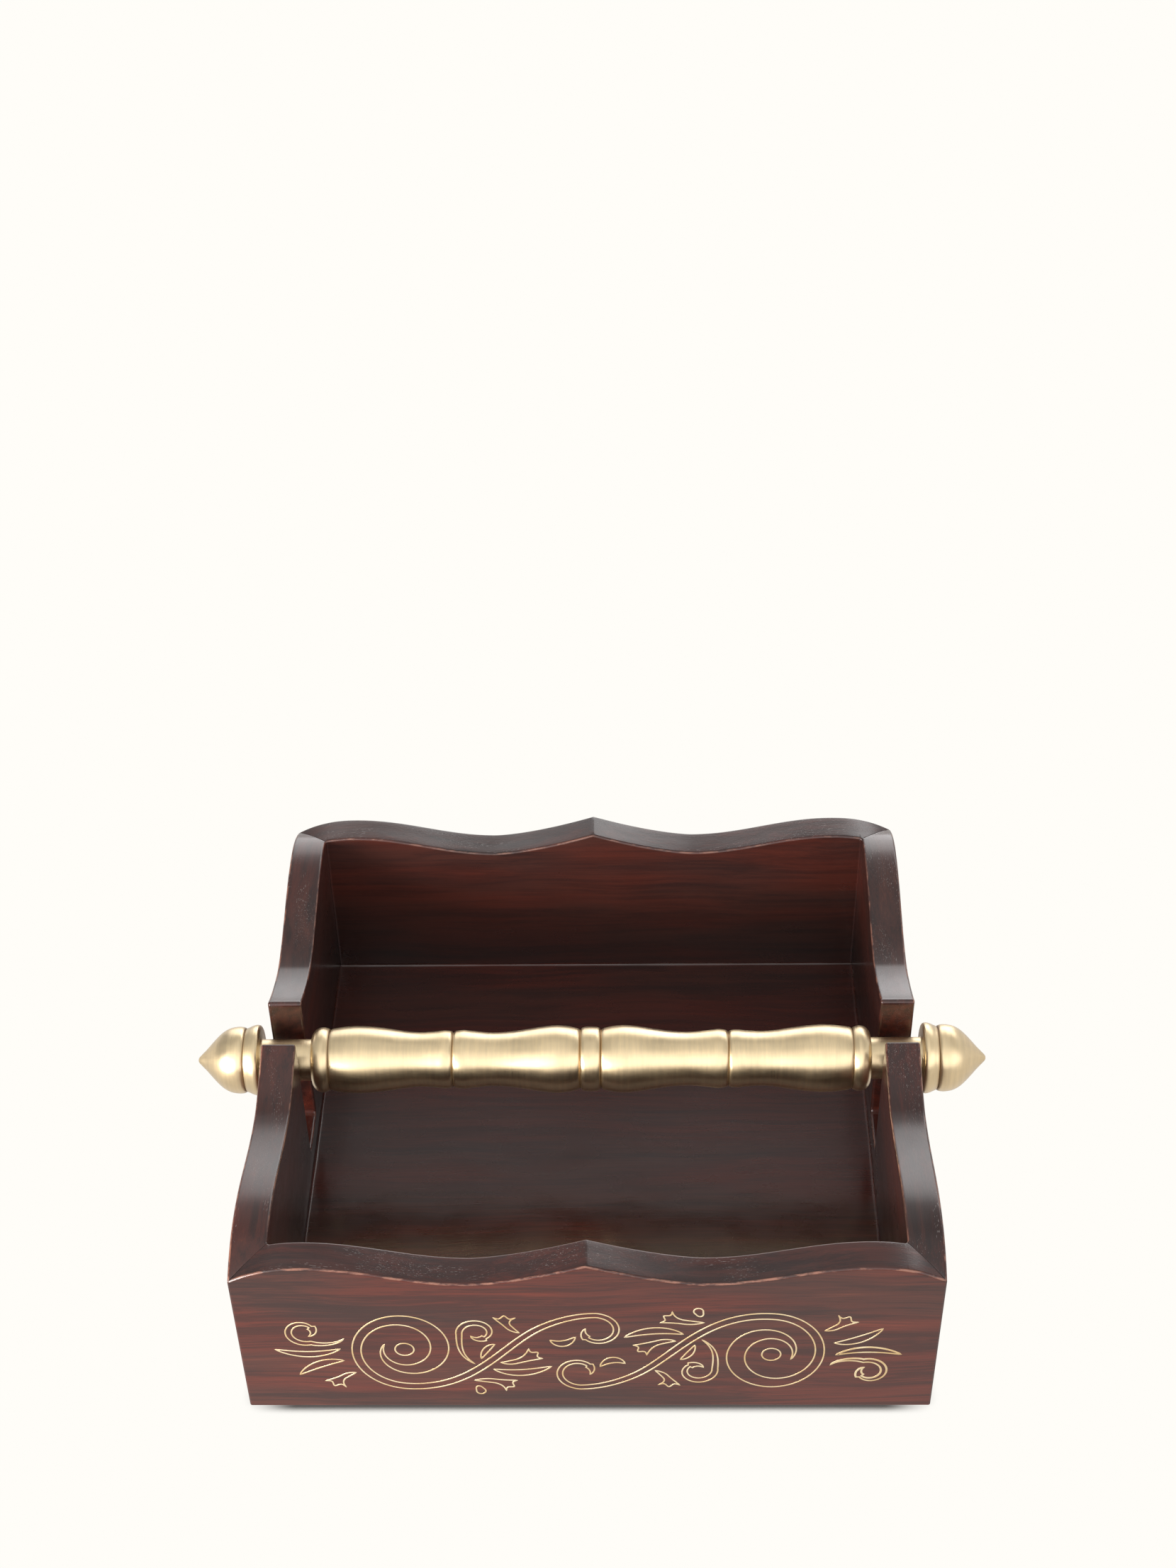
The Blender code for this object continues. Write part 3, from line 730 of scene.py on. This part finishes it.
def leaf(root, pull, tip, half, fine=1, count=8, power=0.7):
    a, d = root, tip
    b = tuple(p + (q - p) * 0.66 for p, q in zip(a, pull))
    c = tuple(p + (q - p) * 0.66 for p, q in zip(d, pull))
    mid = bezier(a, b, c, d, count * fine)
    total = len(mid) - 1
    return edges_of(mid, [half * math.sin(math.pi * k / total) ** power for k in range(total + 1)])


def tendril(root, lead, centre, radius, start, end, half, barb, fine=1, count=12):
    """A shoot that curls in on itself and ends in a barbed tip."""
    curl = spiral(centre, radius, radius * 0.45, start, end, count * fine)
    mid = bezier(root, lead[0], lead[1], curl[0], 5 * fine) + curl[1:]
    total = len(mid) - 1
    widths = []
    for k in range(total + 1):
        t = k / total
        if t < 0.80:
            widths.append(half * math.sin(math.pi * min(t / 0.80 * 0.86, 1.0)) ** 0.8)
        else:
            widths.append(barb * ((1.0 - t) / 0.2) ** 0.9)
    widths[-1] = 0.0
    return edges_of(mid, widths)


def trumpet(root, pull, tip, neck, flare, fine=1, count=8, lobe=1.0):
    """A flower seen from the side: a slender throat that opens into three lobes."""
    a, d = root, tip
    b = tuple(p + (q - p) * 0.66 for p, q in zip(a, pull))
    c = tuple(p + (q - p) * 0.66 for p, q in zip(d, pull))
    mid = bezier(a, b, c, d, count * fine)
    total = len(mid) - 1
    widths = []
    for k in range(total + 1):
        t = k / total
        widths.append(neck * math.sin(min(t / 0.45, 1.0) * math.pi / 2) ** 0.8 + (flare - neck) * max((t - 0.45) / 0.55, 0) ** 2.2)
    lips = 5 * fine
    mouth = []
    for k in range(1, 2 * lips):
        s = 1 - k / lips
        along = lobe * (1.9 * math.exp(-((s / 0.32) ** 2)) - 0.95 * (1 - s * s))
        mouth.append((along, s * flare))
    return edges_of(mid, widths, mouth)


def stem(fine=1):
    """Main stem: from the heart of the coil, under it, up across the middle and over in a barbed hook."""
    coil = spiral((-52.5, 1.2), 6.0, 15.6, -90 - 470, -90, 24 * fine, tall=1.08)
    sweep = bezier(coil[-1], (-33.0, -17.4), (-24.5, 3.0), (-13.5, 10.6), 9 * fine)
    rise = bezier(sweep[-1], (-8.2, 14.3), (-2.6, 16.2), (2.4, 16.2), 4 * fine)
    hook = spiral((2.4, 9.2), 7.0, 3.1, 90, -200, 12 * fine)
    mid = coil + sweep[1:] + rise[1:] + hook[1:]
    total = len(mid) - 1
    widths = []
    for k in range(total + 1):
        s = k / fine
        if s < 24:
            u = s / 24
            widths.append(1.25 * min(u / 0.3, 1.0) ** 0.7 + 1.35 * math.sin(math.pi * min(u / 0.85, 1.0)) ** 2)
        elif s <= 37:
            widths.append(1.25 - 0.35 * (s - 24) / 13)
        elif s <= 46.01:
            widths.append(0.9 - 0.25 * (s - 37) / 9)
        else:
            widths.append(1.35 * ((49 - s) / 3) ** 0.9)
    widths[0] = widths[-1] = 0.0
    return edges_of(mid, widths)


def ring(centre, radius, fine=1, count=14):
    return [
        (centre[0] + radius * math.cos(2 * math.pi * k / count / fine), centre[1] + radius * math.sin(2 * math.pi * k / count / fine))
        for k in range(count * fine)
    ]


def drop(centre, radius, towards, fine=1, count=14):
    """A bud: round, drawn out to a point."""
    cx, cy = centre
    points = []
    for k in range(count * fine):
        a = 2 * math.pi * k / (count * fine)
        r = radius * (1 + 0.75 * max(math.cos(a), 0.0) ** 5)
        points.append((cx + r * math.cos(a + math.radians(towards)), cy + r * math.sin(a + math.radians(towards))))
    return points


def half_scroll(fine=1):
    """Closed outlines of one half of the scroll, mm from its middle."""
    return {
        "stem": stem(fine),
        "tendril_outer": tendril((-69.6, 6.0), ((-71.4, 3.4), (-76.6, 3.0)), (-80.8, 9.0), 5.2, -70, -415, 0.9, 1.35, fine),
        "leaf_long": leaf((-71.0, 1.4), (-79.6, -3.2), (-89.6, 1.2), 1.2, fine),
        "leaf_middle": leaf((-70.4, -3.9), (-77.6, -3.9), (-83.6, -10.2), 1.35, fine),
        "leaf_low": trumpet((-67.4, -9.4), (-71.6, -10.6), (-73.6, -14.6), 0.85, 3.2, fine, lobe=1.0),
        "tendril_inner": tendril((-32.6, -5.4), ((-36.4, -2.0), (-36.9, 1.6)), (-31.4, 8.6), 5.2, 190, -140, 0.95, 1.3, fine),
        "leaf_rising": trumpet((-19.4, 8.6), (-23.6, 11.2), (-23.4, 15.2), 0.85, 3.1, fine, lobe=0.9),
        "leaf_inner": leaf((-30.6, -2.9), (-29.4, 1.8), (-26.6, 3.4), 0.9, fine, 7),
        "leaf_upper": trumpet((-25.0, -4.8), (-20.4, -5.6), (-15.0, -0.8), 0.9, 2.9, fine, lobe=0.9),
        "leaf_lower": leaf((-27.2, -7.9), (-19.2, -11.6), (-10.6, -6.6), 1.35, fine),
        "leaf_hanging": trumpet((-33.0, -13.0), (-26.6, -12.4), (-22.4, -15.4), 0.85, 2.9, fine, lobe=0.9),
        "leaf_heart": leaf((-10.6, 5.2), (-6.8, 1.6), (-3.5, 6.6), 1.25, fine, 7),
        "eye": ring((-52.5, 1.2), 2.7, fine),
        "bud": drop((-31.4, -17.9), 1.35, 110, fine),
    }


def wire_mesh(name, loops, side):
    """A flat strip of brass with softly rounded edges, let into the front."""
    soft = 0.14
    curve = bpy.data.curves.new(name, "CURVE")
    curve.dimensions = "2D"
    curve.fill_mode = "BOTH"
    curve.bevel_depth = soft * MM
    curve.bevel_resolution = 2
    curve.offset = -soft * MM
    curve.extrude = (WIRE_DEEP / 2 - soft) * MM
    for loop in loops:
        if side > 0:
            loop = [(-x, -y) for x, y in loop]
        spline = curve.splines.new("POLY")
        spline.points.add(len(loop) - 1)
        for point, (x, y) in zip(spline.points, loop):
            point.co = (x * MM, (y + INLAY_Z) * MM, 0.0, 1.0)
        spline.use_cyclic_u = True
    temp = bpy.data.objects.new(name, curve)
    scene.collection.objects.link(temp)
    bpy.context.view_layer.update()
    mesh = bpy.data.meshes.new_from_object(temp.evaluated_get(bpy.context.evaluated_depsgraph_get()))
    bpy.data.objects.remove(temp, do_unlink=True)
    bpy.data.curves.remove(curve)
    bm = bmesh.new()
    bm.from_mesh(mesh)
    bmesh.ops.remove_doubles(bm, verts=bm.verts, dist=1e-7)
    bmesh.ops.recalc_face_normals(bm, faces=bm.faces)
    bm.to_mesh(mesh)
    bm.free()
    mesh.transform(
        Matrix.Translation((0.0, (-BOX / 2 + WIRE_DEEP / 2) * MM, 0.0)) @ Matrix.Rotation(math.pi / 2, 4, "X")
    )
    vector_attribute(mesh, "grain", points_of(mesh) / MM)
    return mesh


for side, end in ((-1, "left"), (1, "right")):
    for label, edge in half_scroll(FINE).items():
        loops = wire_loops(edge)
        node = f"inlay_{end}_{label}"
        mesh = wire_mesh(f"{node}_fine", loops, side)
        finish_piece(f"{node}_fine", mesh, INLAY, "tray", [node], angle=50)


# ---- the weight bar -----------------------------------------------------------------------
def smooth_profile(points, per=7):
    """Catmull-Rom through (z, r) points."""
    out = []
    for i in range(len(points) - 1):
        p0 = points[max(i - 1, 0)]
        p1, p2 = points[i], points[i + 1]
        p3 = points[min(i + 2, len(points) - 1)]
        if i == 0:
            p0 = tuple(2 * a - b for a, b in zip(p1, p2))
        if i == len(points) - 2:
            p3 = tuple(2 * a - b for a, b in zip(p2, p1))
        for k in range(per):
            t = k / per
            out.append(
                tuple(
                    0.5 * (2 * b + (c - a) * t + (2 * a - 5 * b + 4 * c - d) * t * t + (3 * b - a - 3 * c + d) * t**3)
                    for a, b, c, d in zip(p0, p1, p2, p3)
                )
            )
    out.append(points[-1])
    return out


ROUND = 112


def lathe(name, profile, side, closed=True, grooves=()):
    """profile: (z, r) mm, z out from the middle of the bar; side -1 mirrors it."""
    bm = bmesh.new()
    rows = []
    for z, r in profile:
        if r < 1e-6:
            rows.append([bm.verts.new((side * z, 0.0, 0.0))])
        else:
            rows.append(
                [
                    bm.verts.new((side * z, r * math.cos(2 * math.pi * k / ROUND), r * math.sin(2 * math.pi * k / ROUND)))
                    for k in range(ROUND)
                ]
            )
    pairs = list(zip(rows, rows[1:]))
    if closed:
        pairs.append((rows[-1], rows[0]))
    for a, b in pairs:
        for k in range(ROUND):
            m = (k + 1) % ROUND
            if len(a) == 1:
                bm.faces.new((a[0], b[k], b[m]))
            elif len(b) == 1:
                bm.faces.new((a[k], a[m], b[0]))
            else:
                bm.faces.new((a[k], a[m], b[m], b[k]))
    bmesh.ops.recalc_face_normals(bm, faces=bm.faces)
    mesh = bpy.data.meshes.new(name)
    bm.to_mesh(mesh)
    bm.free()
    co = points_of(mesh)
    radius = np.maximum(np.hypot(co[:, 1], co[:, 2]), 1e-6)
    turn = np.stack([co[:, 0], co[:, 1] / radius, co[:, 2] / radius], 1)
    vector_attribute(mesh, "turn", turn)
    dirt = np.zeros(len(co))
    for place in grooves:
        dirt = np.maximum(dirt, np.clip(1 - np.abs(np.abs(co[:, 0]) - abs(place)) / 0.75, 0, 1))
    float_attribute(mesh, "groove", dirt)
    mesh.transform(Matrix.Translation((0.0, 0.0, BAR_Z * MM)) @ Matrix.Scale(MM, 4))
    return mesh


def bored(outer):
    high, low = outer[0][0], outer[-1][0]
    return list(outer) + [(low, BORE_R + 0.2), (low + 0.2 * math.copysign(1, high - low), BORE_R),
                          (high - 0.2 * math.copysign(1, high - low), BORE_R), (high, BORE_R + 0.2)]


BEAD_END, BARREL_END, BARREL_OUT_END, COLLAR_END, JOURNAL_END, TIP = 3.1, 42.6, 80.8, 86.4, 106.9, 122.15
h = SEAM / 2
P_BEAD = smooth_profile(
    [(BEAD_END, 9.15), (2.75, 9.62), (2.0, 9.92), (1.0, 10.06), (0.0, 10.1), (-1.0, 10.06), (-2.0, 9.92), (-2.75, 9.62), (-BEAD_END, 9.15)], 4
)
P_BARREL_IN = smooth_profile(
    [(BARREL_END - 0.06, 8.35), (42.1, 8.72), (41.4, 8.95), (39.4, 9.15), (36.2, 8.8), (31.0, 8.35), (25.4, 8.6),
     (19.4, 9.4), (15.0, 10.1), (10.6, 10.5), (7.2, 10.25), (4.9, 9.8), (3.8, 9.45), (BEAD_END + 0.10, 9.0)]
)
P_BARREL_OUT = smooth_profile(
    [(BARREL_OUT_END - 0.08, 9.35), (80.2, 9.6), (79.0, 9.87), (75.8, 10.3), (71.6, 10.5), (67.0, 10.2), (62.0, 9.55),
     (57.0, 8.8), (52.6, 8.5), (48.2, 8.75), (45.6, 9.0), (43.8, 8.9), (43.1, 8.7), (BARREL_END + 0.06, 8.35)]
)
P_COLLAR = smooth_profile(
    [(COLLAR_END, 6.9), (86.32, 7.6), (86.05, 8.4), (85.2, 9.45), (84.0, 10.0), (82.8, 10.15), (81.7, 9.85), (81.1, 9.55), (BARREL_OUT_END + 0.08, 9.35)]
)
P_JOURNAL = smooth_profile(
    [(JOURNAL_END - 0.07, 9.8), (106.5, 10.0), (106.0, 10.2), (104.9, 10.7), (103.8, 11.0), (102.9, 10.9), (102.45, 10.5), (102.25, 9.9)]
) + [(102.2, 9.2), (102.2, 7.0), (102.12, 6.72), (101.9, 6.56), (101.6, NECK_R), (95.0, NECK_R), (COLLAR_END + 0.1, NECK_R)]
P_FINIAL = smooth_profile(
    [(TIP, 0.0), (121.95, 0.75), (121.0, 1.8), (119.4, 3.4), (117.6, 5.4), (115.6, 7.5), (113.8, 9.0), (111.8, 10.0),
     (109.6, 10.4), (108.1, 10.35), (107.35, 10.1), (JOURNAL_END + 0.07, 9.8)]
)

mesh = lathe("centre_bead_fine", bored(P_BEAD), 1, grooves=(BEAD_END,))
finish_piece("centre_bead_fine", mesh, BRASS, "weight_bar", ["centre_bead"])
for side, end in ((-1, "left"), (1, "right")):
    for label, outer, grooves in (
        ("inner_barrel", P_BARREL_IN, (BEAD_END, BARREL_END)),
        ("outer_barrel", P_BARREL_OUT, (BARREL_END, BARREL_OUT_END)),
        ("collar_bead", P_COLLAR, (BARREL_OUT_END,)),
        ("journal", P_JOURNAL, (JOURNAL_END,)),
    ):
        mesh = lathe(f"{label}_{end}_fine", bored(outer), side, grooves=grooves)
        finish_piece(f"{label}_{end}_fine", mesh, BRASS, "weight_bar", [f"{label}_{end}"])
    profile = P_FINIAL + [(JOURNAL_END + 0.07, BORE_R), (114.0, BORE_R), (114.6, 0.0)]
    mesh = lathe(f"finial_{end}_fine", profile, side, closed=False, grooves=(JOURNAL_END,))
    finish_piece(f"finial_{end}_fine", mesh, BRASS, "weight_bar", [f"finial_{end}"])

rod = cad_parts["core_rod"]
rod.data.materials.clear()
rod.data.materials.append(STEEL)

# ---- camera --------------------------------------------------------------------------------
FOCAL, CX, CY = 3312.05, 829.5, 1544.31        # in a frame 1659 wide and 2212 high
YAW, PITCH, ROLL = 0.029038, 0.782760, 0.023579
W, H = 1659.0, 2212.0
camera = bpy.data.objects.new("camera", bpy.data.cameras.new("camera"))
scene.collection.objects.link(camera)
scene.camera = camera
cy, sy, cp, sp = math.cos(YAW), math.sin(YAW), math.cos(PITCH), math.sin(PITCH)
right = Vector((cy, sy, 0.0))
ahead = Vector((-sy, cy, 0.0))
up = Vector((0.0, 0.0, 1.0))
look = ahead * cp - up * sp
down = -(up * cp + ahead * sp)
r2 = right * math.cos(ROLL) + down * math.sin(ROLL)
d2 = -right * math.sin(ROLL) + down * math.cos(ROLL)
turn = Matrix((r2, -d2, -look)).transposed()
camera.matrix_world = Matrix.Translation(Vector((14.115, -524.405, 551.321)) * MM) @ turn.to_4x4()
camera.data.sensor_fit = "HORIZONTAL"
camera.data.sensor_width = 36.0
camera.data.lens = FOCAL / W * 36.0
camera.data.shift_x = -(CX - W / 2) / W
camera.data.shift_y = (CY - H / 2) / W
camera.data.clip_start = 0.02
camera.data.clip_end = 50.0

# ---- stage and light ---------------------------------------------------------------------------
scene.view_settings.view_transform = "Standard"
scene.view_settings.look = "None"
PAPER = srgb(255, 253, 248)

stage_mesh = bpy.data.meshes.new("stage_floor")
bm = bmesh.new()
bmesh.ops.create_circle(bm, cap_ends=True, radius=8.0, segments=96)
bm.to_mesh(stage_mesh)
bm.free()
floor = bpy.data.objects.new("stage_floor", stage_mesh)
floor.location.z = -0.0002
scene.collection.objects.link(floor)
mat = bpy.data.materials.new("stage_paper")
mat.use_nodes = True
tree = mat.node_tree
tree.nodes.clear()
out = new(tree, "ShaderNodeOutputMaterial")
# painted contact shadow: the paper darkens by ambient occlusion close to the tray, fading out towards its left and
# right sides
painted_contact_shadow = new(tree, "ShaderNodeAmbientOcclusion", {"samples": 16}, {"Distance": 0.0045}).outputs["AO"]
painted_contact_shadow = remap(tree, painted_contact_shadow, 0.50, 0.90)
across = math_node(tree, "ABSOLUTE", new(tree, "ShaderNodeSeparateXYZ", None, {0: new(tree, "ShaderNodeTexCoord").outputs["Object"]}).outputs[0])
shade = math_node(tree, "MULTIPLY", math_node(tree, "SUBTRACT", 1.0, painted_contact_shadow), remap(tree, across, 0.100, 0.086, 0.12, 1.0))
seen = blend_colour(tree, shade, PAPER, (0.10, 0.09, 0.085))
lit = new(tree, "ShaderNodeEmission", None, {"Color": seen, "Strength": 1.0})
bounce = new(tree, "ShaderNodeEmission", None, {"Color": (0.66, 0.63, 0.60, 1.0), "Strength": 1.0})
path = new(tree, "ShaderNodeLightPath")
mix = new(tree, "ShaderNodeMixShader", None, {0: path.outputs["Is Camera Ray"], 1: bounce.outputs[0], 2: lit.outputs[0]})
tree.links.new(mix.outputs[0], out.inputs["Surface"])
stage_mesh.materials.append(mat)

world = bpy.data.worlds.new("studio")
scene.world = world
world.use_nodes = True
tree = world.node_tree
tree.nodes.clear()
out = new(tree, "ShaderNodeOutputWorld")
ray = new(tree, "ShaderNodeTexCoord").outputs["Generated"]
parts = new(tree, "ShaderNodeSeparateXYZ", None, {0: ray})
x, y, z = parts.outputs
# heading of the ray: 0 straight behind the tray, positive to the right
turn = math_node(tree, "ARCTAN2", x, y)
# a broad pale screen behind, brighter to its right, ending about forty degrees up
behind = math_node(tree, "MULTIPLY", remap(tree, turn, -0.65, -0.22), remap(tree, turn, 0.76, 0.58))
behind = math_node(tree, "MULTIPLY", behind, remap(tree, z, 0.655, 0.53))
low_right = math_node(tree, "MULTIPLY", remap(tree, turn, 0.24, 0.48), remap(tree, z, 0.44, 0.32))
behind = math_node(tree, "MULTIPLY", behind, math_node(tree, "SUBTRACT", 1.0, low_right))
light = math_node(tree, "MULTIPLY", behind, remap(tree, turn, -0.30, 0.45, 1.45, 2.8, smooth=False))
# dim ceiling, paler overhead
light = math_node(tree, "ADD", light, remap(tree, z, 0.15, 0.95, 0.34, 0.46))
light = math_node(tree, "ADD", light, remap(tree, z, 0.86, 0.97, 0.0, 0.30))
# a tall pale wall in front, brightest about thirty degrees up
front = math_node(tree, "MULTIPLY", remap(tree, y, -0.10, -0.45), remap(tree, z, 0.08, 0.30))
front = math_node(tree, "MULTIPLY", front, remap(tree, z, 0.55, 0.98, 1.0, 0.45))
light = math_node(tree, "ADD", light, math_node(tree, "MULTIPLY", front, 1.20))
# a window to the right
window = math_node(tree, "MULTIPLY", remap(tree, x, 0.25, 0.75), remap(tree, z, 0.92, 0.55))
light = math_node(tree, "ADD", light, math_node(tree, "MULTIPLY", window, 0.30))
tint = blend_colour(tree, remap(tree, z, 0.3, 0.8), (1.0, 0.985, 0.985), (0.94, 0.93, 0.92))
glow = new(tree, "ShaderNodeBackground", None, {"Color": tint, "Strength": light})
plain = new(tree, "ShaderNodeBackground", None, {"Color": (*PAPER, 1.0), "Strength": 1.0})
path = new(tree, "ShaderNodeLightPath")
mix = new(tree, "ShaderNodeMixShader", None, {0: path.outputs["Is Camera Ray"], 1: glow.outputs[0], 2: plain.outputs[0]})
tree.links.new(mix.outputs[0], out.inputs["Surface"])


def softbox(name, azimuth, elevation, distance, size, radiance, colour=(1, 1, 1)):
    """An area light that looks at the tray; azimuth 0 is the front, positive to the right."""
    data = bpy.data.lights.new(name, "AREA")
    data.shape = "RECTANGLE"
    data.size, data.size_y = size
    data.energy = radiance * math.pi * size[0] * size[1]
    data.color = colour
    a, e = math.radians(azimuth), math.radians(elevation)
    obj = bpy.data.objects.new(name, data)
    scene.collection.objects.link(obj)
    offset = Vector((math.sin(a) * math.cos(e), -math.cos(a) * math.cos(e), math.sin(e))) * distance
    obj.location = Vector((0, 0, 0.04)) + offset
    obj.rotation_mode = "QUATERNION"
    obj.rotation_quaternion = (-offset).to_track_quat("-Z", "Y")
    obj.visible_camera = False
    return obj


softbox("key", -53, 13, 0.64, (0.40, 0.20), 18.5, (1.0, 0.96, 0.92))
